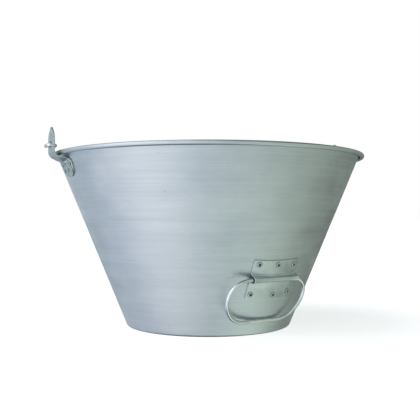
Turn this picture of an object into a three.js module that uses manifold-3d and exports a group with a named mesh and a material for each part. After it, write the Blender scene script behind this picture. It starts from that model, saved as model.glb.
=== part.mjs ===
// Mortar mixing tub: a spun aluminium cone with a rolled rim, two riveted ears that carry a wire bail,
// and low on the wall a riveted bracket whose channel holds the ring used to tip the tub over.
// Millimetres, +Z up. The origin is on the tub's axis, on the surface it stands on.
// The ears lie on X, the bracket faces -Y, and the bail is laid back on the rim towards +Y.

import * as THREE from 'three';
import { mergeVertices } from 'three/addons/utils/BufferGeometryUtils.js';
import Module from 'manifold-3d';

const wasm = await Module();
wasm.setup();

const { sin, cos, tan, atan2, PI } = Math;
const DEGREE = PI / 180;

// ---------------------------------------------------------------- driving dimensions

const HEIGHT = 261; // to the top of the rolled rim
const RIM_RADIUS = 240; // to the outside of the rolled rim
const WALL_FOOT = 126.3; // radius of the wall's outer face, carried down to the base plane
const LEAN = 22.27 * DEGREE; // of the wall, from vertical
const SHEET = 1.6; // thickness of the spun sheet
const CROWN_RADIUS = 4.5; // outside bend where the wall turns over into the rim
const LIP_RADIUS = 3.3; // outside bend of the lip rolled under it
const LIP_TURN = 230 * DEGREE; // how far the lip is rolled, from level
const KNUCKLE_RADIUS = 5; // outside corner between the base and the wall
const TUB_SIDES = 64;

const FIT = 0.3; // gap left between pieces that lie on each other
const WIRE_RADIUS = 2.5; // of the bail and of the tipping ring
const WIRE_SIDES = 8;

const EAR_SHEET = 2;
const EAR_FOOT = HEIGHT - 36.5; // lowest point of the ear, on the wall
const EAR_BEND = HEIGHT - 20.4; // where its middle leaves the wall to pass outside the rim
const EAR_NECK = HEIGHT - 6.1; // where it turns upright again
const EAR_TOP = HEIGHT + 32.2;
const EAR_TONGUE = 16; // half the width of the upright tongue
const EAR_FACE = 246.5; // distance of the tongue's inner face from the axis
const EYE_HEIGHT = HEIGHT + 8; // centre of the hole for the bail
const EYE_RADIUS = 4;

const BAIL_SPAN = 241; // from the tub's axis to the middle of each arm
const BAIL_REACH = 236; // from the hinge line to the middle of the bow
const HOOK_BEND = 5.5; // bend radius of the hooked ends
const HOOK_LENGTH = 15;
const BAIL_HINGE = EYE_HEIGHT - EYE_RADIUS + WIRE_RADIUS + FIT; // the wire sits low in its eye
const BAIL_DROP = BAIL_HINGE - HEIGHT - WIRE_RADIUS - FIT; // from the hinge down to the rim

const BRACKET_AZIMUTH = 7.3; // degrees from -Y towards +X
const BRACKET_HEIGHT = 83; // of the wall behind the channel
const BRACKET_SHEET = 1.2;
const BRACKET_HALF_WIDTH = 39;
const BRACKET_UP = 26.8; // along the slope, from the channel to the upper edge
const BRACKET_DOWN = 31.4; // and to the lower edge
const BRACKET_CREASE = 14; // and to the crease below it where the sheet meets the wall again
const BRACKET_LIFT = 0.8; // of the sheet off the wall between the channel and that crease
const CHANNEL_RADIUS = 2.8; // inside
const CHANNEL_FLARE = 1.3; // added to that at the channel's two mouths
const RING_STAND = 3.5; // centre of the channel and of the ring's bar in it, off the wall

const RING_SHIFT = -7; // the ring sits off-centre in the channel
const RING_BAR = 39; // half the straight bar
const RING_SHOULDER = 27; // bend radius beside the bar
const RING_CORNER = 38; // bend radius at the foot of the ring
const RING_GAP = 0.8; // between the wire's two ends, inside the channel
const RING_LEAN = 22.8 * DEGREE; // swung in from vertical until its foot is almost on the wall

// Blind rivets: shank, flange, bore and grip
const EAR_RIVET = { shank: 2, flange: 3.8, bore: 1.5, grip: EAR_SHEET };
const BRACKET_RIVET = { shank: 2.4, flange: 4.2, bore: 1.9, grip: BRACKET_SHEET };
const RIVET_DOME = 1.1; // height of the flange
const RIVET_BULB = 4; // length of the swollen blind end
const RIVET_SIDES = 10;

// Rivet places as [distance along the wall from the piece's middle, height on the wall]
const EAR_RIVETS = [[-18, 242.9], [18, 242.9], [-17, 234.4], [17, 234.4], [0, 234.2]];
const BRACKET_RIVETS = [[-30.2, 103], [0.8, 101.5], [30.5, 101], [-32.3, 61.5], [4.8, 59.3], [33, 62.6]];

// ---------------------------------------------------------------- the wall

// Radius of the wall's outer face at a height
const wallRadius = (z) => WALL_FOOT + z * tan(LEAN);

// A frame standing on the wall: +X runs round the tub, +Y up the slope and +Z straight out of the wall.
function wallFrame(azimuth, z) {
  const a = azimuth * DEGREE;
  const along = new THREE.Vector3(cos(a), sin(a), 0);
  const out = new THREE.Vector3(sin(a) * cos(LEAN), -cos(a) * cos(LEAN), -sin(LEAN));
  const up = new THREE.Vector3().crossVectors(out, along);
  const frame = new THREE.Group();
  new THREE.Matrix4().makeBasis(along, up, out).decompose(frame.position, frame.quaternion, frame.scale);
  frame.position.set(wallRadius(z) * sin(a), -wallRadius(z) * cos(a), z);
  frame.updateMatrix();
  return frame;
}

// ---------------------------------------------------------------- solids and cuts

function toSolid(geometry) {
  const bare = geometry.clone();
  bare.deleteAttribute('normal');
  bare.deleteAttribute('uv');
  const merged = mergeVertices(bare);
  const corners = merged.index.array;
  const kept = [];
  for (let i = 0; i < corners.length; i += 3) {
    const [a, b, c] = corners.slice(i, i + 3);
    if (a !== b && b !== c && c !== a) {
      kept.push(a, b, c);
    }
  }
  const vertProperties = new Float32Array(merged.attributes.position.array);
  return new wasm.Manifold(new wasm.Mesh({ numProp: 3, vertProperties, triVerts: new Uint32Array(kept) }));
}

function toGeometry(solid) {
  const mesh = solid.getMesh();
  const geometry = new THREE.BufferGeometry();
  geometry.setAttribute('position', new THREE.BufferAttribute(mesh.vertProperties, 3));
  geometry.setIndex(new THREE.BufferAttribute(mesh.triVerts, 1));
  geometry.computeVertexNormals();
  return geometry;
}

// Cuts each tool geometry away from the body geometry.
function cut(body, tools) {
  return toGeometry(tools.reduce((solid, tool) => solid.subtract(toSolid(tool)), toSolid(body)));
}

// A drill standing along +Z of the given matrix, long enough to pass any sheet here
function drill(radius, sides, matrix) {
  const reach = 24;
  return new THREE.CylinderGeometry(radius, radius, reach, sides).rotateX(PI / 2).applyMatrix4(matrix);
}

// Turns a profile of [radius, height] points round Z. A profile runs up the outside and down the inside.
function turned(profile, sides) {
  const points = profile.map(([r, z]) => new THREE.Vector2(r, z));
  return toGeometry(toSolid(new THREE.LatheGeometry(points, sides).rotateX(PI / 2)));
}

// Points on an arc of a turned profile, from one angle to another, both included
function arc(centreR, centreZ, radius, from, to, steps) {
  return Array.from({ length: steps + 1 }, (_, i) => {
    const angle = from + ((to - from) * i) / steps;
    return [centreR + radius * cos(angle), centreZ + radius * sin(angle)];
  });
}

// A line of 2D points moved sideways by a distance, to its left, with mitred corners
function offsetLine(points, distance) {
  const normalOf = (a, b) => new THREE.Vector2(a.y - b.y, b.x - a.x).normalize();
  return points.map((point, i) => {
    const before = normalOf(points[Math.max(i - 1, 0)], points[Math.max(i, 1)]);
    const last = points.length - 1;
    const after = normalOf(points[Math.min(i, last - 1)], points[Math.min(i + 1, last)]);
    const mitre = before.clone().add(after);
    return point.clone().add(mitre.multiplyScalar((2 * distance) / mitre.lengthSq()));
  });
}

// A pressed sheet: a grid of columns across and rows up, given by where each of its points goes.
// place(across, row, outside) takes across from -1 to 1, the row's number, and which face it is on.
function pressedSheet(columns, rows, place) {
  const geometry = new THREE.BoxGeometry(2, rows, 1, columns, rows, 1);
  const position = geometry.attributes.position;
  const point = new THREE.Vector3();
  for (let i = 0; i < position.count; i += 1) {
    point.fromBufferAttribute(position, i);
    const row = Math.round(point.y + rows / 2);
    const placed = place(point.x, row, point.z > 0);
    position.setXYZ(i, placed.x, placed.y, placed.z);
  }
  return geometry;
}

// A wire along flat pieces of curve, each with its own number of steps
class WirePath extends THREE.Curve {
  constructor(pieces) {
    super();
    this.pieces = pieces;
    this.steps = pieces.reduce((sum, [, steps]) => sum + steps, 0);
  }

  find(t) {
    let step = t * this.steps;
    for (const [curve, steps] of this.pieces) {
      if (step <= steps + 1e-9) {
        return [curve, Math.min(step / steps, 1)];
      }
      step -= steps;
    }
    return [this.pieces.at(-1)[0], 1];
  }

  getPoint(t) {
    const [curve, u] = this.find(t);
    const { x, y } = curve.getPoint(u);
    return new THREE.Vector3(x, y, 0);
  }

  getPointAt(t) {
    return this.getPoint(t);
  }

  getTangentAt(t) {
    const [curve, u] = this.find(t);
    const { x, y } = curve.getTangent(u);
    return new THREE.Vector3(x, y, 0);
  }
}

function wire(pieces) {
  const section = new THREE.Shape();
  section.absarc(0, 0, WIRE_RADIUS, 0, 2 * PI);
  const path = new WirePath(pieces);
  const options = { steps: path.steps, curveSegments: WIRE_SIDES / 2, bevelEnabled: false, extrudePath: path };
  return toGeometry(toSolid(new THREE.ExtrudeGeometry(section, options)));
}

const line = (x0, y0, x1, y1) => new THREE.LineCurve(new THREE.Vector2(x0, y0), new THREE.Vector2(x1, y1));

// An arc from one angle to another in degrees, turning the shorter way
function bend(x, y, radius, from, to) {
  return new THREE.EllipseCurve(x, y, radius, radius, from * DEGREE, to * DEGREE, to < from);
}

// ---------------------------------------------------------------- materials

const finish = (color, roughness, metalness) => new THREE.MeshStandardMaterial({ color, roughness, metalness });

const spunAluminium = () => finish(0xb3bcc4, 0.42, 0.9);
const zincPlate = () => finish(0xa3b2b3, 0.5, 0.8);
const platedWire = () => finish(0xb9bfc2, 0.3, 0.95);
const pressedAluminium = () => finish(0xa9b4b5, 0.45, 0.85);
const rivetAluminium = () => finish(0x9aa3a4, 0.4, 0.85);
const mandrelSteel = () => finish(0x3c4042, 0.6, 0.7);

function piece(name, geometry, material) {
  const mesh = new THREE.Mesh(geometry, material);
  mesh.name = name;
  return mesh;
}

// ---------------------------------------------------------------- tub

// The profile runs out along the base, up the wall's outside, round the underside of the rim to the edge
// of the lip, back over the rim and down the inside.
function tubGeometry() {
  const knuckleR = WALL_FOOT - (KNUCKLE_RADIUS * (1 - sin(LEAN))) / cos(LEAN);
  const crownZ = HEIGHT - CROWN_RADIUS;
  const crownR = wallRadius(crownZ) + (CROWN_RADIUS - SHEET) / cos(LEAN);
  const lipR = RIM_RADIUS - LIP_RADIUS;
  const lipZ = HEIGHT - LIP_RADIUS;
  const level = PI / 2;
  const edge = level - LIP_TURN;
  return turned([
    [0, 0],
    ...arc(knuckleR, KNUCKLE_RADIUS, KNUCKLE_RADIUS, -level, -LEAN, 4),
    ...arc(crownR, crownZ, CROWN_RADIUS - SHEET, PI - LEAN, level, 2),
    ...arc(lipR, lipZ, LIP_RADIUS - SHEET, level, edge, 5),
    ...arc(lipR, lipZ, LIP_RADIUS, edge, level, 7),
    ...arc(crownR, crownZ, CROWN_RADIUS, level, PI - LEAN, 2),
    ...arc(knuckleR, KNUCKLE_RADIUS, KNUCKLE_RADIUS - SHEET, -LEAN, -level, 2),
    [0, SHEET],
  ], TUB_SIDES);
}

// ---------------------------------------------------------------- ears

// Half the ear's width at each height of its inner face, foot to tip
const EAR_OUTLINE = new THREE.SplineCurve([
  [EAR_FOOT, 9],
  [EAR_FOOT + 3, 15.5],
  [EAR_FOOT + 8, 21.5],
  [EAR_FOOT + 14, 24.5],
  [HEIGHT - 15.5, 24.8],
  [HEIGHT - 12, 22],
  [HEIGHT - 9.5, 18],
  [HEIGHT - 6.5, EAR_TONGUE + 0.3],
  [HEIGHT + 3, EAR_TONGUE],
  [HEIGHT + 14, EAR_TONGUE],
  [HEIGHT + 22, 13],
  [HEIGHT + 28.5, 6.5],
  [EAR_TOP, 1.6],
].map(([z, half]) => new THREE.Vector2(z, half)));

function earHalfWidth(z) {
  let low = 0;
  let high = 1;
  for (let i = 0; i < 24; i += 1) {
    const middle = (low + high) / 2;
    if (EAR_OUTLINE.getPoint(middle).x < z) {
      low = middle;
    } else {
      high = middle;
    }
  }
  return EAR_OUTLINE.getPoint(low).y;
}

// The inner face of the ear's middle from the side, as [distance from the axis, height]: up the wall,
// out past the rim and upright again, with a rounded corner at each turn
function earProfile() {
  const onWall = (z) => new THREE.Vector2(wallRadius(z) + FIT / cos(LEAN), z);
  const foot = onWall(EAR_FOOT);
  const bendAt = onWall(EAR_BEND);
  const neck = new THREE.Vector2(EAR_FACE, EAR_NECK);
  const tip = new THREE.Vector2(EAR_FACE, EAR_TOP);
  const between = (a, b, distance) => a.clone().add(b.clone().sub(a).setLength(distance));
  const smallBend = 3;
  const wideBend = 5;
  const pieces = [
    [new THREE.LineCurve(foot, between(bendAt, foot, smallBend)), 5],
    [new THREE.QuadraticBezierCurve(between(bendAt, foot, smallBend), bendAt, between(bendAt, neck, smallBend)), 2],
    [new THREE.LineCurve(between(bendAt, neck, smallBend), between(neck, bendAt, wideBend)), 4],
    [new THREE.QuadraticBezierCurve(between(neck, bendAt, wideBend), neck, between(neck, tip, wideBend)), 3],
    [new THREE.LineCurve(between(neck, tip, wideBend), tip), 7],
  ];
  return pieces.flatMap(([curve, steps], i) => curve.getPoints(steps).slice(i ? 1 : 0));
}

// How much of a point of the ear follows the cranked middle, from 0 on the shoulders, which stay on the
// wall, to 1 on the neck and the tongue
function crankShare(side, z) {
  const rise = THREE.MathUtils.smoothstep(z, HEIGHT - 15, HEIGHT - 8);
  const neckHalf = THREE.MathUtils.lerp(6.5, EAR_TONGUE + 0.5, rise);
  const spread = THREE.MathUtils.lerp(6, 15, THREE.MathUtils.smoothstep(z, HEIGHT - 14, HEIGHT - 8.5));
  return 1 - THREE.MathUtils.smoothstep(Math.abs(side), neckHalf, neckHalf + spread);
}

// The ear stands at azimuth 0, facing -Y. Its foot is rolled to the wall, and its tongue is flat.
function earGeometry() {
  const inside = earProfile();
  const outside = offsetLine(inside, -EAR_SHEET);
  const onWall = inside.map(({ y: z }) => new THREE.Vector2(wallRadius(z) + FIT / cos(LEAN), z));
  const offWall = offsetLine(onWall, -EAR_SHEET);
  const blank = pressedSheet(12, inside.length - 1, (across, row, isOutside) => {
    const level = inside[row].y;
    const side = across * earHalfWidth(level);
    const [wall, crank] = isOutside ? [offWall[row], outside[row]] : [onWall[row], inside[row]];
    const { x: radius, y: z } = wall.clone().lerp(crank, crankShare(side, level));
    const flat = THREE.MathUtils.smoothstep(level, EAR_BEND, EAR_NECK + 4);
    const angle = side / radius;
    const depth = radius * (flat + (1 - flat) * cos(angle));
    const width = THREE.MathUtils.lerp(radius * sin(angle), side, flat);
    return new THREE.Vector3(width, -depth, z);
  });
  const eye = new THREE.Matrix4().makeRotationX(PI / 2).setPosition(0, -EAR_FACE, EYE_HEIGHT);
  const holes = EAR_RIVETS.map(([side, z]) => rivetHole(EAR_RIVET, rivetFrame(0, side, z)));
  return cut(blank, [drill(EYE_RADIUS, 16, eye), ...holes]);
}

// ---------------------------------------------------------------- rivets

function rivetFrame(azimuth, side, z) {
  return wallFrame(azimuth + side / wallRadius(z) / DEGREE, z);
}

function rivetHole({ shank }, frame) {
  return drill(shank + FIT, 12, frame.matrix);
}

// The rivet's own frame has the wall's outer face at 0 and its flange outwards along +Z.
function rivetGeometry({ shank, flange, bore, grip }) {
  const seat = grip + 2 * FIT;
  const blind = -SHEET - FIT;
  const bulb = shank + 1.1;
  const tail = blind - RIVET_BULB;
  return turned([
    [bore, tail],
    [bulb - 0.5, tail],
    [bulb, tail + RIVET_BULB / 2],
    [bulb - 0.4, blind],
    [shank, blind],
    [shank, seat],
    [flange, seat],
    [flange - 0.2, seat + 0.5],
    [bore + 0.9, seat + RIVET_DOME],
    [bore, seat + RIVET_DOME],
    [bore, tail],
  ], RIVET_SIDES);
}

// The stub of the broken mandrel: its head is drawn up against the rivet's blind end.
function mandrelGeometry({ shank, bore, grip }) {
  const tail = -SHEET - FIT - RIVET_BULB;
  const head = shank + 0.2;
  const stub = bore - FIT;
  const broken = grip; // the stub breaks off a little below the flange
  return turned([
    [0, tail - 2.4],
    [head - 0.7, tail - 2.1],
    [head, tail - FIT - 0.5],
    [head - 0.1, tail - FIT],
    [stub, tail - FIT],
    [stub, broken - 0.3],
    [0, broken],
  ], 8);
}

// Every rivet of one row of places, with its mandrel
function rivets(prefix, azimuth, places, kind) {
  return places.flatMap(([side, z], i) => {
    const frame = rivetFrame(azimuth, side, z);
    frame.add(piece(`${prefix}_rivet_${i + 1}`, rivetGeometry(kind), rivetAluminium()));
    frame.add(piece(`${prefix}_mandrel_${i + 1}`, mandrelGeometry(kind), mandrelSteel()));
    return frame;
  });
}

// ---------------------------------------------------------------- bail

// Half of the bail from its bow to its hook lies in the plane of the hinge line and the bow.
function bailGeometry() {
  const outer = BAIL_SPAN + 2 * HOOK_BEND;
  const middle = BAIL_SPAN + HOOK_BEND;
  const bowCentre = (BAIL_REACH ** 2 - BAIL_SPAN ** 2 - HOOK_BEND ** 2) / (2 * (BAIL_REACH - HOOK_BEND));
  const bowRadius = BAIL_REACH - bowCentre;
  const bowEnd = atan2(HOOK_BEND - bowCentre, BAIL_SPAN) / DEGREE;
  return wire([
    [line(-outer, HOOK_LENGTH, -outer, HOOK_BEND), 1],
    [bend(-middle, HOOK_BEND, HOOK_BEND, 180, 360), 7],
    [bend(0, bowCentre, bowRadius, 180 - bowEnd, bowEnd), 40],
    [bend(middle, HOOK_BEND, HOOK_BEND, 180, 360), 7],
    [line(outer, HOOK_BEND, outer, HOOK_LENGTH), 1],
  ]);
}

// ---------------------------------------------------------------- bracket and tipping ring

// The bracket's inner face from its lower edge to its upper edge at a distance from its middle, as
// [distance up the slope, distance off the wall's tangent plane]
function bracketProfile(side) {
  const radius = wallRadius(BRACKET_HEIGHT);
  const wallAt = (y) => FIT - (side ** 2 * cos(LEAN)) / (2 * (radius + y * sin(LEAN)));
  const flat = (y) => new THREE.Vector2(y, wallAt(y));
  const round = CHANNEL_RADIUS + CHANNEL_FLARE * (side / BRACKET_HALF_WIDTH) ** 6;
  const channel = [-90, -60, -30, 0, 30, 60, 90].map((angle) => new THREE.Vector2(
    round * sin(angle * DEGREE),
    RING_STAND + round * cos(angle * DEGREE),
  ));
  const footAt = round + 0.12 * (RING_STAND - wallAt(round));
  const lowerFoot = new THREE.Vector2(-footAt - 0.8, wallAt(-footAt) + BRACKET_LIFT);
  return [
    flat(-BRACKET_DOWN),
    flat(-BRACKET_DOWN + 7),
    flat(-BRACKET_CREASE),
    flat(-BRACKET_CREASE).lerp(lowerFoot, 0.5),
    lowerFoot,
    ...channel,
    flat(footAt),
    flat(footAt + 7),
    flat(BRACKET_UP - 7),
    flat(BRACKET_UP),
  ];
}

// Both in the frame of the wall behind the channel
function bracketGeometry(frame) {
  const rows = bracketProfile(0).length - 1;
  const blank = pressedSheet(12, rows, (across, row, isOutside) => {
    const side = across * BRACKET_HALF_WIDTH;
    const inside = bracketProfile(side);
    const { x: y, y: z } = (isOutside ? offsetLine(inside, BRACKET_SHEET) : inside)[row];
    return new THREE.Vector3(side, y, z);
  });
  const toFrame = frame.matrix.clone().invert();
  const holes = BRACKET_RIVETS.map(([side, z]) => {
    return rivetHole(BRACKET_RIVET, rivetFrame(BRACKET_AZIMUTH, side, z)).applyMatrix4(toFrame);
  });
  return cut(blank, holes);
}

// The ring lies in its own XY plane: its bar along X, and the rest of it towards -Y.
function ringGeometry() {
  const corner = RING_BAR + RING_SHOULDER - RING_CORNER;
  const foot = -RING_SHOULDER - RING_CORNER;
  return wire([
    [line(RING_GAP / 2, 0, RING_BAR, 0), 1],
    [bend(RING_BAR, -RING_SHOULDER, RING_SHOULDER, 90, 0), 7],
    [bend(corner, -RING_SHOULDER, RING_CORNER, 0, -90), 9],
    [line(corner, foot, -corner, foot), 1],
    [bend(-corner, -RING_SHOULDER, RING_CORNER, -90, -180), 9],
    [bend(-RING_BAR, -RING_SHOULDER, RING_SHOULDER, 180, 90), 7],
    [line(-RING_BAR, 0, -RING_GAP / 2, 0), 1],
  ]);
}

// ---------------------------------------------------------------- assembly

const EARS = [['ear_left', -90], ['ear_right', 90]];

const tub = new THREE.Group();

const drilled = [
  ...EARS.flatMap(([, azimuth]) => EAR_RIVETS.map(([side, z]) => (
    rivetHole(EAR_RIVET, rivetFrame(azimuth, side, z))
  ))),
  ...BRACKET_RIVETS.map(([side, z]) => rivetHole(BRACKET_RIVET, rivetFrame(BRACKET_AZIMUTH, side, z))),
];
tub.add(piece('tub_shell', cut(tubGeometry(), drilled), spunAluminium()));

for (const [name, azimuth] of EARS) {
  const ear = piece(name, earGeometry(), zincPlate());
  ear.rotation.z = azimuth * DEGREE;
  tub.add(ear, ...rivets(name, azimuth, EAR_RIVETS, EAR_RIVET));
}

const bail = piece('bail', bailGeometry(), platedWire());
bail.position.z = BAIL_HINGE;
bail.rotation.x = -Math.asin(BAIL_DROP / BAIL_REACH);
tub.add(bail);

const bracketFrame = wallFrame(BRACKET_AZIMUTH, BRACKET_HEIGHT);
bracketFrame.add(piece('handle_bracket', bracketGeometry(bracketFrame), pressedAluminium()));
const ring = piece('tipping_ring', ringGeometry(), platedWire());
ring.position.set(RING_SHIFT, 0, RING_STAND);
ring.rotation.x = RING_LEAN - LEAN;
bracketFrame.add(ring);
tub.add(bracketFrame, ...rivets('bracket', BRACKET_AZIMUTH, BRACKET_RIVETS, BRACKET_RIVET));

export default tub;
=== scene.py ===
# Mortar mixing tub: the looks of a spun aluminium tub with a rolled rim, riveted ears, a wire bail,
# and a tipping ring in a riveted bracket. Every piece takes the place of the CAD node of its name.

from math import asin, atan2, ceil, cos, degrees, pi, radians, sin, tan

import bmesh
import bpy
from mathutils import Matrix, Vector, noise


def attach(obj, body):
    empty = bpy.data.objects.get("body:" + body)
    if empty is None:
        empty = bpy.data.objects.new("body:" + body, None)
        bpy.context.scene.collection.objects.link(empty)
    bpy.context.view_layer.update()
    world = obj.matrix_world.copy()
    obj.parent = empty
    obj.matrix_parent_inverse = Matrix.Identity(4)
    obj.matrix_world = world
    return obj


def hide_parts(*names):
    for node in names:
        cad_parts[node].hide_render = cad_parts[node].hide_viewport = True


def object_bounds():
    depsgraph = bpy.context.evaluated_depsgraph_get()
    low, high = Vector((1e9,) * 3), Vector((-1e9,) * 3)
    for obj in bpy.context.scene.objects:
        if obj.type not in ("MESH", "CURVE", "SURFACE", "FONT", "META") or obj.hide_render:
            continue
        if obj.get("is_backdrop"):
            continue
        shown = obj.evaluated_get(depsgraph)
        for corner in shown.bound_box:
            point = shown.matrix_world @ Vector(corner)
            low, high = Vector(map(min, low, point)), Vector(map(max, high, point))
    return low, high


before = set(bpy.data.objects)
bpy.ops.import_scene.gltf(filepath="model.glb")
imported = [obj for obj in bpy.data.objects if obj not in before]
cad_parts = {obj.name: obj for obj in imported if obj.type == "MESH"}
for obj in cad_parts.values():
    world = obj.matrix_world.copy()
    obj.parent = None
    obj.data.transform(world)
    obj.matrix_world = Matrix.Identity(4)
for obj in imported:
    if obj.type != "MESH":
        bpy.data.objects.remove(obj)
cad_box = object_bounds()

MM = 0.001  # lengths are in millimetres until a mesh is made, except the camera's, which are in metres
SHARP_ANGLE = radians(40)  # edges that turn by less than this are shaded smooth

# ---------------------------------------------------------------- dimensions, as in the CAD model

HEIGHT = 261  # to the top of the rim
RIM_RADIUS = 240
WALL_FOOT = 126.3  # radius of the wall's outer face at the base plane
LEAN = radians(22.27)
SHEET = 1.6
CROWN_RADIUS = 4.5  # where the wall turns over the rim
LIP_RADIUS = 3.3  # where the rim is rolled under
LIP_TURN = radians(230)  # how far the lip is rolled, from level
KNUCKLE_RADIUS = 5  # between the base and the wall
FIT = 0.3  # gap between pieces that touch on the real tub
WIRE_RADIUS = 2.5

EAR_SHEET = 2
EAR_FOOT = HEIGHT - 36.5
EAR_BEND = HEIGHT - 20.4  # where its middle leaves the wall
EAR_NECK = HEIGHT - 6.1  # where it turns upright
EAR_TOP = HEIGHT + 32.2
EAR_TONGUE = 16  # half the tongue's width
EAR_FACE = 246.5  # from the tub's axis to the tongue's inner face
EYE_HEIGHT = HEIGHT + 8
EYE_RADIUS = 4

BAIL_SPAN = 241  # from the middle to the end of its arc
BAIL_REACH = 236  # from the hinge to the arc's far side
HOOK_BEND = 5.5
HOOK_LENGTH = 15  # from the hinge to the end of the hook
BAIL_HINGE = EYE_HEIGHT - EYE_RADIUS + WIRE_RADIUS + FIT
BAIL_DROP = BAIL_HINGE - HEIGHT - WIRE_RADIUS - FIT

BRACKET_AZIMUTH = 7.3  # degrees round from -Y towards +X
BRACKET_HEIGHT = 83  # of the wall behind the channel
BRACKET_SHEET = 1.2
BRACKET_HALF_WIDTH = 39
BRACKET_UP = 26.8  # from the channel's middle to the upper edge
BRACKET_DOWN = 31.4
BRACKET_CREASE = 14  # from the channel's middle down to the crease
BRACKET_LIFT = 0.8  # of the plate off the wall, between the channel and that crease
CHANNEL_RADIUS = 2.8  # inside
CHANNEL_FLARE = 1.3  # how much wider it is at its ends
RING_STAND = 3.5  # the bar's middle, off the wall

RING_SHIFT = -7  # along the channel, from the bracket's middle
RING_BAR = 39  # half the straight bar
RING_SHOULDER = 27  # radius of its turns beside the bar
RING_CORNER = 38  # radius of its lower turns
RING_GAP = 0.8  # between the wire's ends, hidden in the channel
RING_LEAN = radians(22.8)  # swung in from vertical

EAR_RIVET = {"shank": 2, "flange": 3.8, "bore": 1.5, "grip": EAR_SHEET}
BRACKET_RIVET = {"shank": 2.4, "flange": 4.2, "bore": 1.9, "grip": BRACKET_SHEET}
RIVET_DOME = 1.1  # height of the flange
RIVET_BULB = 4  # length of the swollen blind end
# Where the rivets are, as (distance round from the plate's middle, height)
EAR_RIVETS = [(-18, 242.9), (18, 242.9), (-17, 234.4), (17, 234.4), (0, 234.2)]
BRACKET_RIVETS = [(-30.2, 103), (0.8, 101.5), (30.5, 101), (-32.3, 61.5), (4.8, 59.3), (33, 62.6)]

# ---------------------------------------------------------------- small sums


def lerp(a, b, share):
    return a + (b - a) * share


def smoothstep(value, low, high):
    share = min(max((value - low) / (high - low), 0), 1)
    return share * share * (3 - 2 * share)


def wall_radius(z):
    """From the tub's axis to the wall's outer face at a height."""
    return WALL_FOOT + z * tan(LEAN)


def wall_frame(azimuth, z):
    """A frame standing on the wall: X runs round the tub, Y up the slope and Z straight out of the wall."""
    a = radians(azimuth)
    along = Vector((cos(a), sin(a), 0))
    out = Vector((sin(a) * cos(LEAN), -cos(a) * cos(LEAN), -sin(LEAN)))
    place = Vector((wall_radius(z) * sin(a), -wall_radius(z) * cos(a), z))
    axes = Matrix((along, out.cross(along), out)).transposed()
    return Matrix.Translation(place) @ axes.to_4x4()


def rivet_frame(azimuth, side, z):
    """The frame standing on the wall at a distance round from an azimuth."""
    return wall_frame(azimuth + degrees(side / wall_radius(z)), z)


def arc(x, y, radius, start, end, steps):
    """Points on an arc, both ends included, angles in radians."""
    angles = [lerp(start, end, i / steps) for i in range(steps + 1)]
    return [Vector((x + radius * cos(angle), y + radius * sin(angle))) for angle in angles]


def offset_line(points, distance):
    """A line of 2D points moved sideways by a distance, to its left, with mitred corners."""
    moved = []
    for i, point in enumerate(points):
        before = points[max(i, 1)] - points[max(i, 1) - 1]
        after = points[min(i + 1, len(points) - 1)] - points[min(i, len(points) - 2)]
        left = [Vector((-d.y, d.x)).normalized() for d in (before, after)]
        mitre = left[0] + left[1]
        moved.append(point + mitre * (2 * distance / mitre.length_squared))
    return moved


def along_line(points, position):
    """The point at a fractional index of a line of points."""
    i = min(max(int(position), 0), len(points) - 2)
    return points[i].lerp(points[i + 1], position - i)


def lengths_along(points):
    """How far each point of a line is from its start, along the line."""
    reach = [0.0]
    for a, b in zip(points, points[1:]):
        reach.append(reach[-1] + (b - a).length)
    return reach


def index_at(reach, along):
    """The fractional index at a length along a line, from the lengths at its points."""
    i = next((n for n in range(len(reach) - 2) if reach[n + 1] >= along), len(reach) - 2)
    return i + (along - reach[i]) / (reach[i + 1] - reach[i])


# ---------------------------------------------------------------- meshes


def shade(mesh):
    """Smooth shading that keeps the sharp edges."""
    mesh.shade_smooth()
    mesh.set_sharp_from_angle(angle=SHARP_ANGLE)


def build(name, vertices, faces):
    """An object from points in millimetres, shaded smooth except at its sharp edges."""
    mesh = bpy.data.meshes.new(name)
    mesh.from_pydata([Vector(v) * MM for v in vertices], [], faces)
    shape = bmesh.new()
    shape.from_mesh(mesh)
    bmesh.ops.recalc_face_normals(shape, faces=shape.faces)
    shape.to_mesh(mesh)
    shape.free()
    shade(mesh)
    piece = bpy.data.objects.new(name, mesh)
    bpy.context.scene.collection.objects.link(piece)
    return piece


def loft(loops, joined=False):
    """Vertices and faces through closed loops of points. The ends are joined to each other or closed."""
    count = len(loops[0])
    vertices = [point for loop in loops for point in loop]
    faces = []
    for i in range(len(loops) if joined else len(loops) - 1):
        low = i * count
        high = (i + 1) % len(loops) * count
        for j in range(count):
            k = (j + 1) % count
            faces.append((low + j, low + k, high + k, high + j))
    if not joined:
        for start in (0, len(vertices) - count):
            middle = sum((vertices[start + j] for j in range(count)), Vector()) / count
            vertices.append(middle)
            faces += [(start + j, start + (j + 1) % count, len(vertices) - 1) for j in range(count)]
    return vertices, faces


def lathe(profile, sides, joined=False):
    """Turns (radius, height) points round Z."""
    turns = [2 * pi * j / sides for j in range(sides)]
    loops = [[Vector((r * cos(t), r * sin(t), z)) for t in turns] for r, z in profile]
    return loft(loops, joined)


def sweep(path, radius):
    """A round wire along a line of 2D points in the XY plane, with softly broken ends."""
    sides = 28
    turns = [2 * pi * j / sides for j in range(sides)]
    ends = [(0.0, 0.62), (0.12, 0.82), (0.4, 0.95), (0.8, 1.0)]  # distance from the end, share of radius
    first = (path[1] - path[0]).normalized()
    last = (path[-1] - path[-2]).normalized()
    stations = [(path[0] + first * d, first, share) for d, share in ends]
    for i in range(1, len(path) - 1):
        tangent = ((path[i + 1] - path[i]).normalized() + (path[i] - path[i - 1]).normalized()).normalized()
        stations.append((path[i], tangent, 1.0))
    stations += [(path[-1] - last * d, last, share) for d, share in reversed(ends)]
    loops = []
    for point, tangent, share in stations:
        across = Vector((-tangent.y, tangent.x, 0))
        centre = point.to_3d()
        reach = radius * share
        loops.append([centre + across * (reach * cos(t)) + Vector((0, 0, reach * sin(t))) for t in turns])
    return loft(loops)


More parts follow.
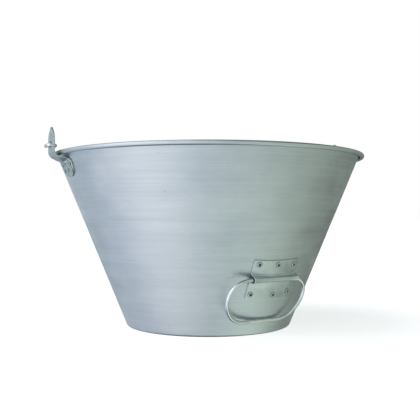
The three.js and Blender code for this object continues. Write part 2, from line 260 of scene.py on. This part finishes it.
def rounded_lines(low, high, step, radius):
    """Grid lines from low to high, closer together where the edges are rounded."""
    count = max(1, ceil((high - low - 2 * radius) / step))
    inner = [lerp(low + radius, high - radius, i / count) for i in range(count + 1)]
    edge = 0.3 * radius
    return [low, low + edge, *inner, high - edge, high]


def rounded_slab(width, length, depth, step, radius, place):
    """A slab with rounded edges, each of its points then moved by place(across, along, out)."""
    lines = [
        rounded_lines(-width, width, step, radius),
        rounded_lines(0, length, step, radius),
        rounded_lines(0, depth, depth, radius),
    ]
    lows = Vector([axis[0] + radius for axis in lines])
    highs = Vector([axis[-1] - radius for axis in lines])
    top = [len(axis) - 1 for axis in lines]
    number = {}
    vertices = []

    def corner(key):
        if key not in number:
            number[key] = len(vertices)
            point = Vector([lines[n][key[n]] for n in range(3)])
            core = Vector([min(max(point[n], lows[n]), highs[n]) for n in range(3)])
            out = point - core
            vertices.append(place(*(core + out.normalized() * radius)))
        return number[key]

    faces = []
    for normal in range(3):
        u, v = [n for n in range(3) if n != normal]
        for level in (0, top[normal]):
            for i in range(top[u]):
                for j in range(top[v]):
                    keys = []
                    for a, b in ((i, j), (i + 1, j), (i + 1, j + 1), (i, j + 1)):
                        key = [0, 0, 0]
                        key[normal], key[u], key[v] = level, a, b
                        keys.append(corner(tuple(key)))
                    faces.append(keys)
    return vertices, faces


def moved(shape, matrix):
    """The same (vertices, faces) with its points carried by a matrix."""
    vertices, faces = shape
    return [matrix @ Vector(v) for v in vertices], faces


def joined_shapes(shapes):
    """Several (vertices, faces) as one."""
    vertices, faces = [], []
    for more_vertices, more_faces in shapes:
        faces += [[start + len(vertices) for start in face] for face in more_faces]
        vertices += more_vertices
    return vertices, faces


def drill(piece, cutters):
    """Cuts closed shapes out of a piece and leaves a plain mesh."""
    cutter = build("cutter", *joined_shapes(cutters))
    cut = piece.modifiers.new("holes", "BOOLEAN")
    cut.operation = "DIFFERENCE"
    cut.solver = "EXACT"
    cut.object = cutter
    finished = bpy.data.meshes.new_from_object(piece.evaluated_get(bpy.context.evaluated_depsgraph_get()))
    piece.modifiers.clear()
    piece.data = finished
    shade(finished)
    bpy.data.objects.remove(cutter)


def rivet_drill(kind, azimuth, places):
    """Round cutters through the wall and what is riveted to it, a little wider than the shank."""
    depth = 12
    hole = lathe([(kind["shank"] + FIT, z) for z in (-depth, depth)], 32)
    return [moved(hole, rivet_frame(azimuth, side, z)) for side, z in places]


# ---------------------------------------------------------------- materials


class Surface:
    """A metal whose colour, roughness and bump come from textures laid on the piece itself."""

    def __init__(self, name, anisotropy=0.0):
        self.material = bpy.data.materials.new(name)
        self.material.use_nodes = True
        self.tree = self.material.node_tree
        self.shader = self.tree.nodes["Principled BSDF"]
        self.shader.inputs["Metallic"].default_value = 1.0
        self.shader.inputs["Anisotropic"].default_value = anisotropy
        self.place = self.add("ShaderNodeTexCoord").outputs["Object"]

    def add(self, kind, inputs=(), **settings):
        node = self.tree.nodes.new(kind)
        for key, value in settings.items():
            setattr(node, key, value)
        for key, value in dict(inputs).items():
            if isinstance(value, bpy.types.NodeSocket):
                self.tree.links.new(value, node.inputs[key])
            else:
                node.inputs[key].default_value = value
        return node

    def link(self, output, name):
        self.tree.links.new(output, self.shader.inputs[name])

    def grain(self, per_metre, detail=3.0, roughness=0.5):
        """Noise from 0 to 1 with its own number of features per metre along X, Y and Z."""
        scaled = self.add("ShaderNodeMapping", {"Vector": self.place, "Scale": per_metre})
        inputs = {"Vector": scaled.outputs[0], "Scale": 1.0, "Detail": detail, "Roughness": roughness}
        return self.add("ShaderNodeTexNoise", inputs).outputs["Fac"]

    def spread(self, value, low, high, to_low=0.0, to_high=1.0):
        """A value carried from one range to another and held inside it."""
        inputs = {"Value": value, "From Min": low, "From Max": high, "To Min": to_low, "To Max": to_high}
        return self.add("ShaderNodeMapRange", inputs).outputs["Result"]

    def sum(self, *values):
        total = values[0]
        for value in values[1:]:
            total = self.add("ShaderNodeMath", {0: total, 1: value}, operation="ADD").outputs[0]
        return total

    def times(self, a, b):
        return self.add("ShaderNodeMath", {0: a, 1: b}, operation="MULTIPLY").outputs[0]

    def mix(self, share, a, b):
        node = self.add("ShaderNodeMix", data_type="RGBA")
        sockets = [s for s in node.inputs if s.enabled]
        for socket, value in zip(sockets, (share, a, b)):
            if isinstance(value, bpy.types.NodeSocket):
                self.tree.links.new(value, socket)
            else:
                socket.default_value = value
        return next(s for s in node.outputs if s.enabled)

    def polish_and_painted_edge_highlight(self):
        """Where the surface turns over an edge: polish from handling, with a painted highlight along it."""
        return self.spread(self.add("ShaderNodeNewGeometry").outputs["Pointiness"], 0.53, 0.58)

    def bump(self, layers):
        """Layers are (height from 0 to 1, depth in millimetres)."""
        normal = None
        for height, depth in layers:
            inputs = {"Height": height, "Distance": depth * MM, "Strength": 1.0}
            if normal is not None:
                inputs["Normal"] = normal
            normal = self.add("ShaderNodeBump", inputs).outputs["Normal"]
        self.link(normal, "Normal")


def colour(red, green, blue):
    return (red, green, blue, 1.0)


def spun_aluminium():
    """Fine rings left by the spinning tool, faint bands and streaks, clouds of oxide, specks and scuffs."""
    metal = Surface("spun_aluminium", anisotropy=0.6)
    metal.link(metal.add("ShaderNodeTangent", direction_type="RADIAL", axis="Z").outputs[0], "Tangent")
    rings = metal.grain((2.0, 2.0, 900.0), detail=2.0)
    bands = metal.grain((1.2, 1.2, 110.0), detail=4.0)
    streaks = metal.grain((9.0, 9.0, 420.0), detail=3.0, roughness=0.65)
    clouds = metal.grain((14.0, 14.0, 22.0), detail=5.0, roughness=0.6)
    specks = metal.spread(metal.grain((160.0, 160.0, 240.0), detail=2.0), 0.72, 0.8)
    scuffs = metal.spread(metal.grain((30.0, 30.0, 1500.0), detail=1.0), 0.68, 0.78)
    tone = metal.mix(metal.spread(clouds, 0.35, 0.65), colour(0.56, 0.6, 0.62), colour(0.66, 0.7, 0.71))
    tone = metal.mix(metal.spread(bands, 0.3, 0.7, 0.0, 0.35), tone, colour(0.5, 0.54, 0.57))
    tone = metal.mix(metal.spread(streaks, 0.35, 0.65, 0.0, 0.18), tone, colour(0.8, 0.84, 0.85))
    tone = metal.mix(metal.times(specks, 0.35), tone, colour(0.22, 0.24, 0.25))
    metal.link(tone, "Base Color")
    rough = metal.sum(
        metal.spread(rings, 0.3, 0.7, 0.34, 0.42),
        metal.spread(clouds, 0.3, 0.7, -0.02, 0.06),
        metal.times(scuffs, -0.08),
    )
    metal.link(rough, "Roughness")
    metal.bump([(clouds, 0.25), (bands, 0.06), (rings, 0.012), (scuffs, 0.008)])
    return metal.material


def zinc_plate():
    """Zinc with its crystal patches, a dull bloom, and edges coloured near white: polish with a painted
    highlight.
    """
    metal = Surface("zinc_plate")
    patches = metal.grain((260.0, 260.0, 260.0), detail=3.0, roughness=0.7)
    bloom = metal.grain((60.0, 60.0, 60.0), detail=4.0)
    tone = metal.mix(metal.spread(patches, 0.35, 0.65), colour(0.36, 0.43, 0.43), colour(0.66, 0.73, 0.72))
    tone = metal.mix(metal.spread(bloom, 0.45, 0.7, 0.0, 0.5), tone, colour(0.5, 0.56, 0.54))
    # painted highlight: convex edges turn near white, standing for their polish and for the light along them
    tone = metal.mix(metal.polish_and_painted_edge_highlight(), tone, colour(0.9, 0.94, 0.94))
    metal.link(tone, "Base Color")
    metal.link(metal.spread(patches, 0.3, 0.7, 0.3, 0.5), "Roughness")
    metal.bump([(bloom, 0.12), (patches, 0.05)])
    return metal.material


def plated_wire():
    """Drawn wire: bright, with faint dull stretches."""
    metal = Surface("plated_wire")
    dull = metal.grain((45.0, 45.0, 45.0), detail=3.0)
    pits = metal.grain((500.0, 500.0, 500.0), detail=2.0)
    tone = metal.mix(metal.spread(dull, 0.35, 0.65), colour(0.6, 0.63, 0.64), colour(0.82, 0.85, 0.86))
    metal.link(tone, "Base Color")
    metal.link(metal.spread(dull, 0.3, 0.7, 0.2, 0.12), "Roughness")
    metal.bump([(pits, 0.02), (dull, 0.05)])
    return metal.material


def pressed_aluminium():
    """Rolled sheet: satin, with faint rolling lines, tool marks, and edges coloured near white: polish with a
    painted highlight.
    """
    metal = Surface("pressed_aluminium")
    rolling = metal.grain((40.0, 40.0, 700.0), detail=2.0)
    marks = metal.grain((70.0, 70.0, 70.0), detail=4.0)
    tone = metal.mix(metal.spread(marks, 0.3, 0.7), colour(0.5, 0.56, 0.57), colour(0.66, 0.71, 0.72))
    # painted highlight: convex edges turn near white, standing for their polish and for the light along them
    tone = metal.mix(metal.polish_and_painted_edge_highlight(), tone, colour(0.9, 0.93, 0.94))
    metal.link(tone, "Base Color")
    rough = metal.sum(metal.spread(marks, 0.3, 0.7, 0.28, 0.4), metal.spread(rolling, 0.3, 0.7, 0.0, 0.06))
    metal.link(rough, "Roughness")
    metal.bump([(marks, 0.12), (rolling, 0.01)])
    return metal.material


def rivet_aluminium():
    """Dull aluminium with faint marks."""
    metal = Surface("rivet_aluminium")
    marks = metal.grain((300.0, 300.0, 300.0), detail=3.0)
    tone = metal.mix(metal.spread(marks, 0.3, 0.7), colour(0.42, 0.47, 0.47), colour(0.62, 0.66, 0.66))
    metal.link(tone, "Base Color")
    metal.link(metal.spread(marks, 0.3, 0.7, 0.55, 0.65), "Roughness")
    metal.bump([(marks, 0.04)])
    return metal.material


def mandrel_steel():
    """Steel broken off short, near black: dark with oxide, and painted shade of the bore it sits in."""
    metal = Surface("mandrel_steel")
    break_face = metal.grain((900.0, 900.0, 900.0), detail=3.0)
    # painted shade: the stub's near-black colour stands for the shade down the rivet's bore as well as for
    # oxide
    tone = metal.mix(metal.spread(break_face, 0.3, 0.7), colour(0.03, 0.035, 0.035), colour(0.1, 0.105, 0.1))
    metal.link(tone, "Base Color")
    metal.link(metal.spread(break_face, 0.3, 0.7, 0.45, 0.7), "Roughness")
    metal.bump([(break_face, 0.15)])
    return metal.material


# ---------------------------------------------------------------- pieces


def tub_shape():
    """The spun sheet. Its wall carries a very slight waviness from the spinning."""
    sides = 288
    knuckle = WALL_FOOT - KNUCKLE_RADIUS * (1 - sin(LEAN)) / cos(LEAN)
    crown_z = HEIGHT - CROWN_RADIUS
    crown_r = wall_radius(crown_z) + (CROWN_RADIUS - SHEET) / cos(LEAN)
    lip_r, lip_z = RIM_RADIUS - LIP_RADIUS, HEIGHT - LIP_RADIUS
    edge = pi / 2 - LIP_TURN
    outside = arc(knuckle, KNUCKLE_RADIUS, KNUCKLE_RADIUS, -pi / 2, -LEAN, 10)
    under_crown = arc(crown_r, crown_z, CROWN_RADIUS - SHEET, pi - LEAN, pi / 2, 8)
    lip_inside = arc(lip_r, lip_z, LIP_RADIUS - SHEET, pi / 2, edge, 18)
    middle = LIP_RADIUS - SHEET / 2
    end_r, end_z = lip_r + middle * cos(edge), lip_z + middle * sin(edge)
    lip_end = arc(end_r, end_z, SHEET / 2, edge + pi, edge, 6)[1:-1]
    lip_outside = arc(lip_r, lip_z, LIP_RADIUS, edge, pi / 2, 24)
    crown = arc(crown_r, crown_z, CROWN_RADIUS, pi / 2, pi - LEAN, 10)
    inside = arc(knuckle, KNUCKLE_RADIUS, KNUCKLE_RADIUS - SHEET, -LEAN, -pi / 2, 8)
    rows = 48
    wall_out = [outside[-1].lerp(under_crown[0], i / rows) for i in range(1, rows)]
    wall_in = [crown[-1].lerp(inside[0], i / rows) for i in range(1, rows)]
    base_rings = [0.04, 0.2, 0.4, 0.6, 0.8, 0.94]
    base_out = [Vector((knuckle * share, 0)) for share in base_rings]
    base_in = [Vector((knuckle * share, SHEET)) for share in reversed(base_rings)]
    profile = [
        *base_out, *outside, *wall_out, *under_crown, *lip_inside, *lip_end,
        *lip_outside, *crown, *wall_in, *inside, *base_in,
    ]
    vertices, faces = lathe(profile, sides)
    wave = 0.16  # the most it moves a point
    waves_round, waves_up = 0.011, 0.02  # per millimetre
    fade_in, fade_out = (12, 50), (205, 245)  # heights
    for i, v in enumerate(vertices):
        share = smoothstep(v.z, *fade_in) * (1 - smoothstep(v.z, *fade_out)) * wave
        radial = Vector((v.x, v.y, 0)).normalized()
        shift = noise.noise(Vector((v.x * waves_round, v.y * waves_round, v.z * waves_up)))
        vertices[i] = v + radial * (share * shift)
    return vertices, faces


def ear_half_width(z):
    """Half the ear's width at a height, by a smooth curve through the outline's points."""
    outline = [
        (EAR_FOOT, 9), (EAR_FOOT + 3, 15.5), (EAR_FOOT + 8, 21.5), (EAR_FOOT + 14, 24.5),
        (HEIGHT - 15.5, 24.8), (HEIGHT - 12, 22), (HEIGHT - 9.5, 18), (HEIGHT - 6.5, EAR_TONGUE + 0.3),
        (HEIGHT + 3, EAR_TONGUE), (HEIGHT + 14, EAR_TONGUE), (HEIGHT + 22, 13), (HEIGHT + 28.5, 6.5),
        (EAR_TOP, 1.6),
    ]
    last = len(outline) - 1
    span = next((i for i in range(last) if z <= outline[i + 1][0]), last - 1)
    near = [outline[min(max(span + k, 0), last)] for k in (-1, 0, 1, 2)]

    def curve(t, axis):
        a, b, c, d = (point[axis] for point in near)
        bend = (2 * a - 5 * b + 4 * c - d) * t**2
        twist = (3 * b - a - 3 * c + d) * t**3
        return 0.5 * (2 * b + (c - a) * t + bend + twist)

    low, high = 0.0, 1.0
    for _ in range(20):
        middle = (low + high) / 2
        if curve(middle, 0) < z:
            low = middle
        else:
            high = middle
    return curve(low, 1)


def rounded_corner(before, at, after, radius, steps):
    """A smooth turn from one straight to the next, starting and ending at a distance from the corner."""
    start = at + (before - at).normalized() * radius
    end = at + (after - at).normalized() * radius
    shares = [i / steps for i in range(steps + 1)]
    return [start.lerp(at, t).lerp(at.lerp(end, t), t) for t in shares]


def evenly(points, step):
    """The same line of points, with more put in so that none are further apart than a step."""
    line = []
    for a, b in zip(points, points[1:]):
        count = max(1, ceil((b - a).length / step))
        line += [a.lerp(b, i / count) for i in range(count)]
    return [*line, points[-1]]


def on_wall(z):
    """A plate's inner face on the wall, as (distance from the axis, height)."""
    return Vector((wall_radius(z) + FIT / cos(LEAN), z))


def crank_share(side, level):
    """How far a point of the ear follows the cranked middle: 0 on the shoulders, 1 on neck and tongue."""
    neck_half = lerp(6.5, EAR_TONGUE + 0.5, smoothstep(level, HEIGHT - 15, HEIGHT - 8))
    fade = lerp(6, 15, smoothstep(level, HEIGHT - 14, HEIGHT - 8.5))
    return 1 - smoothstep(abs(side), neck_half, neck_half + fade)


def ear_shape():
    """A plate standing at azimuth 0, its foot rolled to the wall and its tongue flat."""
    foot, bend_at = on_wall(EAR_FOOT), on_wall(EAR_BEND)
    neck, tip = Vector((EAR_FACE, EAR_NECK)), Vector((EAR_FACE, EAR_TOP))
    line = [
        foot,
        *rounded_corner(foot, bend_at, neck, 3, 8),
        *rounded_corner(bend_at, neck, tip, 5, 10),
        tip,
    ]
    inside = evenly(line, 1.2)
    outside = offset_line(inside, -EAR_SHEET)
    wall_inside = [on_wall(p.y) for p in inside]
    wall_outside = offset_line(wall_inside, -EAR_SHEET)
    reach = lengths_along(inside)

    def place(across, along, depth):
        row = index_at(reach, along)
        level = along_line(inside, row).y
        side = across / EAR_TONGUE * ear_half_width(level)
        share = depth / EAR_SHEET
        on = along_line(wall_inside, row).lerp(along_line(wall_outside, row), share)
        off = along_line(inside, row).lerp(along_line(outside, row), share)
        radius, z = on.lerp(off, crank_share(side, level))
        flat = smoothstep(level, EAR_BEND, EAR_NECK + 4)
        angle = side / radius
        return Vector((
            lerp(radius * sin(angle), side, flat),
            -radius * lerp(cos(angle), 1, flat),
            z,
        ))

    return rounded_slab(EAR_TONGUE, reach[-1], EAR_SHEET, step=0.9, radius=0.45, place=place)


def eye_cutter():
    """A hole with a rounded edge on both faces of the ear."""
    edge = 0.5
    wide = EYE_RADIUS + edge + 0.6
    clear, past = 0.02, 2  # how far off each face the cutter widens, and how far it runs on
    inner, outer = EAR_FACE, EAR_FACE + EAR_SHEET
    profile = [
        Vector((wide, inner - past)),
        Vector((wide, inner - clear)),
        *arc(EYE_RADIUS + edge, inner + edge, edge, -pi / 2, -pi, 5),
        *arc(EYE_RADIUS + edge, outer - edge, edge, pi, pi / 2, 5),
        Vector((wide, outer + clear)),
        Vector((wide, outer + past)),
    ]
    return moved(lathe(profile, 48), Matrix.Translation((0, 0, EYE_HEIGHT)) @ Matrix.Rotation(pi / 2, 4, "X"))


def rivet_shape(kind):
    """A blind rivet with its foot on the wall's outer face and its flange outwards along Z."""
    shank, flange, bore, grip = (kind[key] for key in ("shank", "flange", "bore", "grip"))
    seat = grip + 2 * FIT
    blind = -SHEET - FIT
    bulb = shank + 1.1
    tail = blind - RIVET_BULB
    rim, steps = 0.2, 8

    def dome_point(share):
        across = lerp(flange, bore + 0.35, smoothstep(share, 0, 1.25))
        return (across, seat + rim + (RIVET_DOME - rim) * sin(share * pi / 2))

    profile = [
        (bore, tail), (bore + 0.2, tail - 0.12), (bulb - 0.7, tail - 0.05), (bulb - 0.25, tail + 0.35),
        (bulb, tail + RIVET_BULB * 0.4), (bulb - 0.05, tail + RIVET_BULB * 0.6), (bulb - 0.5, blind - 0.1),
        (shank, blind), (shank, seat), (flange - 0.1, seat), (flange, seat + 0.1),
        *[dome_point(i / steps) for i in range(steps + 1)], (bore, seat + RIVET_DOME - 0.3),
    ]
    return lathe(profile, 40, joined=True)


def mandrel_shape(kind):
    """The stub left in the rivet: a head behind the bulb, and a shank broken off just below the flange."""
    shank, bore, grip = (kind[key] for key in ("shank", "bore", "grip"))
    tail = -SHEET - FIT - RIVET_BULB
    head = shank + 0.2
    stub = bore - 0.12
    broken = grip + 0.2
    profile = [
        (0.4, tail - 2.4), (head - 0.9, tail - 2.2), (head - 0.3, tail - 1.7), (head, tail - 1),
        (head - 0.1, tail - FIT), (stub, tail - FIT), (stub, broken - 0.35), (stub - 0.25, broken - 0.1),
        (stub * 0.5, broken + 0.05), (0.2, broken - 0.1),
    ]
    return lathe(profile, 24)


def bail_shape():
    """An arc lying back just above the rim, with a hook through each ear's eye."""
    outer, middle = BAIL_SPAN + 2 * HOOK_BEND, BAIL_SPAN + HOOK_BEND
    centre = (BAIL_REACH**2 - BAIL_SPAN**2 - HOOK_BEND**2) / (2 * (BAIL_REACH - HOOK_BEND))
    radius = BAIL_REACH - centre
    end = atan2(HOOK_BEND - centre, BAIL_SPAN)
    path = [
        Vector((-outer, HOOK_LENGTH)),
        *arc(-middle, HOOK_BEND, HOOK_BEND, pi, 2 * pi, 24),
        *arc(0, centre, radius, pi - end, end, 220)[1:-1],
        *arc(middle, HOOK_BEND, HOOK_BEND, pi, 2 * pi, 24),
        Vector((outer, HOOK_LENGTH)),
    ]
    tilt = Matrix.Rotation(-asin(BAIL_DROP / BAIL_REACH), 4, "X")
    return moved(sweep(path, WIRE_RADIUS), Matrix.Translation((0, 0, BAIL_HINGE)) @ tilt)


def ring_shape(frame_matrix):
    """A D lying in its own XY plane, its bar along X and the rest of it towards -Y."""
    corner = RING_BAR + RING_SHOULDER - RING_CORNER
    path = [
        Vector((RING_GAP / 2, 0)),
        *arc(RING_BAR, -RING_SHOULDER, RING_SHOULDER, pi / 2, 0, 28),
        *arc(corner, -RING_SHOULDER, RING_CORNER, 0, -pi / 2, 36)[1:],
        *arc(-corner, -RING_SHOULDER, RING_CORNER, -pi / 2, -pi, 36),
        *arc(-RING_BAR, -RING_SHOULDER, RING_SHOULDER, pi, pi / 2, 28)[1:],
        Vector((-RING_GAP / 2, 0)),
    ]
    hung = Matrix.Translation((RING_SHIFT, 0, RING_STAND)) @ Matrix.Rotation(RING_LEAN - LEAN, 4, "X")
    return moved(sweep(path, WIRE_RADIUS), frame_matrix @ hung)


def bracket_line(side):
    """The bracket's inner face at a distance from its middle, lower edge first, as (up the slope, off
    the wall's tangent plane). The number of points is the same at every distance."""
    radius = wall_radius(BRACKET_HEIGHT)

    def flat(y):
        return Vector((y, FIT - side**2 * cos(LEAN) / (2 * (radius + y * sin(LEAN)))))

    flare = CHANNEL_RADIUS + CHANNEL_FLARE * (side / BRACKET_HALF_WIDTH) ** 6
    crease = flat(-BRACKET_CREASE)
    foot = flat(flare + 0.12 * (RING_STAND - flat(flare).y))
    lower_foot = flat(-foot.x) + Vector((-0.8, BRACKET_LIFT))
    turns = [radians(-90 + 7.5 * i) for i in range(25)]
    channel = [Vector((flare * sin(t), RING_STAND + flare * cos(t))) for t in turns]
    return [
        *[flat(lerp(-BRACKET_DOWN, -BRACKET_CREASE - 2, i / 12)) for i in range(12)],
        *rounded_corner(flat(-BRACKET_CREASE - 4), crease, lower_foot, 1.2, 5),
        *rounded_corner(crease, lower_foot, channel[0], 0.9, 4),
        *channel,
        *rounded_corner(channel[-1], foot, flat(BRACKET_UP), 0.9, 5),
        *[flat(lerp(foot.x + 2, BRACKET_UP, i / 12)) for i in range(13)],
    ]


def bracket_shape(frame_matrix):
    """A plate bent to the wall, with the channel for the ring's bar across it."""
    reach = lengths_along(bracket_line(0))
    pairs = {}

    def place(across, along, depth):
        if across not in pairs:
            line = bracket_line(across)
            pairs[across] = (line, offset_line(line, BRACKET_SHEET))
        inside, outside = pairs[across]
        row = index_at(reach, along)
        y, z = along_line(inside, row).lerp(along_line(outside, row), depth / BRACKET_SHEET)
        return Vector((across, y, z))

    size = (BRACKET_HALF_WIDTH, reach[-1], BRACKET_SHEET)
    return moved(rounded_slab(*size, step=0.8, radius=0.45, place=place), frame_matrix)


# ---------------------------------------------------------------- assembly

METALS = {
    make.__name__: make()
    for make in (
        spun_aluminium, zinc_plate, plated_wire, pressed_aluminium, rivet_aluminium, mandrel_steel,
    )
}


def show(node, shape, body, metal, cutters=()):
    """One visible piece in place of one CAD node."""
    piece = build(node + "_fine", *shape)
    if cutters:
        drill(piece, cutters)
    piece.data.materials.clear()
    piece.data.materials.append(METALS[metal])
    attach(piece, body)
    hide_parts(node)


def show_rivets(prefix, azimuth, places, kind):
    """A plate's rivets, each with the stub left inside it."""
    for number, (side, z) in enumerate(places, 1):
        at = rivet_frame(azimuth, side, z)
        show(f"{prefix}_rivet_{number}", moved(rivet_shape(kind), at), "tub", "rivet_aluminium")
        show(f"{prefix}_mandrel_{number}", moved(mandrel_shape(kind), at), "tub", "mandrel_steel")


EARS = (("ear_left", -90), ("ear_right", 90))
bracket_frame = wall_frame(BRACKET_AZIMUTH, BRACKET_HEIGHT)
bracket_holes = rivet_drill(BRACKET_RIVET, BRACKET_AZIMUTH, BRACKET_RIVETS)
ear_holes = {name: rivet_drill(EAR_RIVET, azimuth, EAR_RIVETS) for name, azimuth in EARS}
wall_holes = [*bracket_holes, *ear_holes["ear_left"], *ear_holes["ear_right"]]

show("tub_shell", tub_shape(), "tub", "spun_aluminium", wall_holes)
for name, azimuth in EARS:
    turned = Matrix.Rotation(radians(azimuth), 4, "Z")
    cutters = [*ear_holes[name], moved(eye_cutter(), turned)]
    show(name, moved(ear_shape(), turned), "tub", "zinc_plate", cutters)
    show_rivets(name, azimuth, EAR_RIVETS, EAR_RIVET)
show("bail", bail_shape(), "bail", "plated_wire")
show("handle_bracket", bracket_shape(bracket_frame), "tub", "pressed_aluminium", bracket_holes)
show_rivets("bracket", BRACKET_AZIMUTH, BRACKET_RIVETS, BRACKET_RIVET)
show("tipping_ring", ring_shape(bracket_frame), "tipping_ring", "plated_wire")


# ---------------------------------------------------------------- floor, light and camera

# The camera, in metres
VIEW_AZIMUTH = radians(-27)  # where it stands round the tub, from -Y towards +X
VIEW_DISTANCE = 1.0446
VIEW_HEIGHT = 0.1649
VIEW_TARGET = (0.0026, -0.0013, 0.1778)
LENS = 56.8

FLOOR_HALF = 30000
FLOOR_TONE = 0.9
FLOOR_GLOW = 0.62  # keeps the tub's shadow pale

# The studio round the tub as the metal sees it: the light's colour by the angle round from the camera
# towards its right, and its share by how steeply it comes from above or below, both in degrees.
STUDIO_ROUND = [
    (-180, (0.16, 0.18, 0.19)),
    (-156, (0.36, 0.42, 0.44)),
    (-138, (0.54, 0.63, 0.67)),
    (-122, (0.56, 0.64, 0.72)),
    (-108, (0.5, 0.58, 0.71)),
    (-78, (0.88, 0.94, 1.07)),
    (-56, (1.5, 1.5, 1.57)),
    (-36, (1.13, 1.18, 1.25)),
    (-12, (0.72, 0.8, 0.87)),
    (11, (0.58, 0.66, 0.69)),
    (45, (0.54, 0.62, 0.57)),
    (85, (0.47, 0.54, 0.47)),
    (118, (0.25, 0.28, 0.24)),
    (155, (0.15, 0.17, 0.16)),
    (180, (0.16, 0.18, 0.19)),
]
STUDIO_UP = [
    (-90, 0.06), (-72, 0.35), (-60, 0.85), (-50, 1.05), (-38, 1.05), (-12, 1.0), (8, 1.05), (27, 1.45),
    (38, 0.45), (50, 0.3), (90, 0.5),
]
# What the light from low down is multiplied by, by the angle round
STUDIO_LOW = [
    (-180, 0.9), (-110, 0.4), (-56, 0.42), (-12, 0.8), (11, 1.2), (45, 1.8), (85, 2.8), (118, 3.0),
    (155, 2.4), (180, 0.9),
]
LOW_FROM = -34  # the angle from below where that sets in
LOW_FULL = -62


def ramp(tree, factor, stops):
    """Colours at places from 0 to 1."""
    node = tree.nodes.new("ShaderNodeValToRGB")
    elements = node.color_ramp.elements
    while len(elements) < len(stops):
        elements.new(0.5)
    for element, (place, value) in zip(elements, stops):
        element.position = place
        element.color = (*value, 1.0)
    tree.links.new(factor, node.inputs["Fac"])
    return node.outputs["Color"]


def studio_world():
    """A graded studio for the metal to mirror, and plain white for the camera."""
    world = bpy.data.worlds.new("studio")
    bpy.context.scene.world = world
    world.use_nodes = True
    tree = world.node_tree

    def maths(operation, *values):
        node = tree.nodes.new("ShaderNodeMath")
        node.operation = operation
        for socket, value in zip(node.inputs, values):
            if isinstance(value, bpy.types.NodeSocket):
                tree.links.new(value, socket)
            else:
                socket.default_value = value
        return node.outputs[0]

    direction = tree.nodes.new("ShaderNodeTexCoord").outputs["Generated"]
    turn = tree.nodes.new("ShaderNodeMapping")
    turn.inputs["Rotation"].default_value = (0, 0, -VIEW_AZIMUTH)
    tree.links.new(direction, turn.inputs["Vector"])
    split = tree.nodes.new("ShaderNodeSeparateXYZ")
    tree.links.new(turn.outputs[0], split.inputs[0])
    right, away, up = split.outputs
    angle_round = maths("ARCTAN2", right, maths("MULTIPLY", away, -1))
    round_share = maths("MULTIPLY_ADD", angle_round, 0.5 / pi, 0.5)
    up_share = maths("MULTIPLY_ADD", maths("ARCSINE", up), 1 / pi, 0.5)
    around = ramp(tree, round_share, [(angle / 360 + 0.5, value) for angle, value in STUDIO_ROUND])
    upward = ramp(tree, up_share, [(angle / 180 + 0.5, (value,) * 3) for angle, value in STUDIO_UP])
    low = ramp(tree, round_share, [(angle / 360 + 0.5, (value,) * 3) for angle, value in STUDIO_LOW])
    past_start = maths("SUBTRACT", up_share, LOW_FROM / 180 + 0.5)
    low_share = maths("DIVIDE", past_start, (LOW_FULL - LOW_FROM) / 180)
    low_share = maths("MINIMUM", maths("MAXIMUM", low_share, 0), 1)
    low_factor = maths("MULTIPLY_ADD", low_share, maths("SUBTRACT", low, 1), 1)
    product = tree.nodes.new("ShaderNodeVectorMath")
    product.operation = "MULTIPLY"
    tree.links.new(around, product.inputs[0])
    tree.links.new(upward, product.inputs[1])
    graded = tree.nodes.new("ShaderNodeVectorMath")
    graded.operation = "SCALE"
    tree.links.new(product.outputs[0], graded.inputs[0])
    tree.links.new(low_factor, graded.inputs["Scale"])
    seen = tree.nodes.new("ShaderNodeMix")
    seen.data_type = "RGBA"
    share, mirrored, to_camera = (s for s in seen.inputs if s.enabled)
    tree.links.new(tree.nodes.new("ShaderNodeLightPath").outputs["Is Camera Ray"], share)
    tree.links.new(graded.outputs[0], mirrored)
    to_camera.default_value = colour(1.0, 1.0, 1.0)
    background = tree.nodes["Background"]
    tree.links.new(next(s for s in seen.outputs if s.enabled), background.inputs["Color"])


def pale_floor():
    """A plain floor that the metal doesn't mirror: it mirrors the graded studio instead."""
    corners = [(x * FLOOR_HALF, y * FLOOR_HALF, 0) for x, y in ((-1, -1), (1, -1), (1, 1), (-1, 1))]
    floor = build("floor", corners, [(0, 1, 2, 3)])
    material = bpy.data.materials.new("pale_floor")
    material.use_nodes = True
    shader = material.node_tree.nodes["Principled BSDF"]
    shader.inputs["Base Color"].default_value = colour(FLOOR_TONE, FLOOR_TONE, FLOOR_TONE)
    shader.inputs["Roughness"].default_value = 0.9
    shader.inputs["Specular IOR Level"].default_value = 0.0
    shader.inputs["Emission Color"].default_value = colour(1.0, 1.0, 1.0)
    shader.inputs["Emission Strength"].default_value = FLOOR_GLOW
    floor.data.materials.append(material)
    floor.visible_glossy = False
    floor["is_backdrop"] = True


def soft_sun(name, azimuth, elevation, strength, spread):
    """A far, wide light. Angles are in degrees, azimuth from -Y towards +X."""
    light = bpy.data.lights.new(name, "SUN")
    light.energy = strength
    light.angle = radians(spread)
    lamp = bpy.data.objects.new(name, light)
    a, e = radians(azimuth), radians(elevation)
    out = Vector((sin(a) * cos(e), -cos(a) * cos(e), sin(e)))
    lamp.rotation_mode = "QUATERNION"
    lamp.rotation_quaternion = out.to_track_quat("Z", "Y")
    bpy.context.scene.collection.objects.link(lamp)


def photo_camera():
    """The photo's point of view."""
    data = bpy.data.cameras.new("camera")
    data.lens = LENS
    camera = bpy.data.objects.new("camera", data)
    camera.location = (VIEW_DISTANCE * sin(VIEW_AZIMUTH), -VIEW_DISTANCE * cos(VIEW_AZIMUTH), VIEW_HEIGHT)
    camera.rotation_mode = "QUATERNION"
    camera.rotation_quaternion = (camera.location - Vector(VIEW_TARGET)).to_track_quat("Z", "Y")
    bpy.context.scene.collection.objects.link(camera)
    bpy.context.scene.camera = camera


bpy.context.scene.view_settings.view_transform = "Standard"
studio_world()
pale_floor()
soft_sun("overhead", azimuth=-110, elevation=58, strength=0.8, spread=50)
photo_camera()

boxes = {"cad": cad_box, "visual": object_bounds()}
{key: [list(corner) for corner in box] for key, box in boxes.items()}
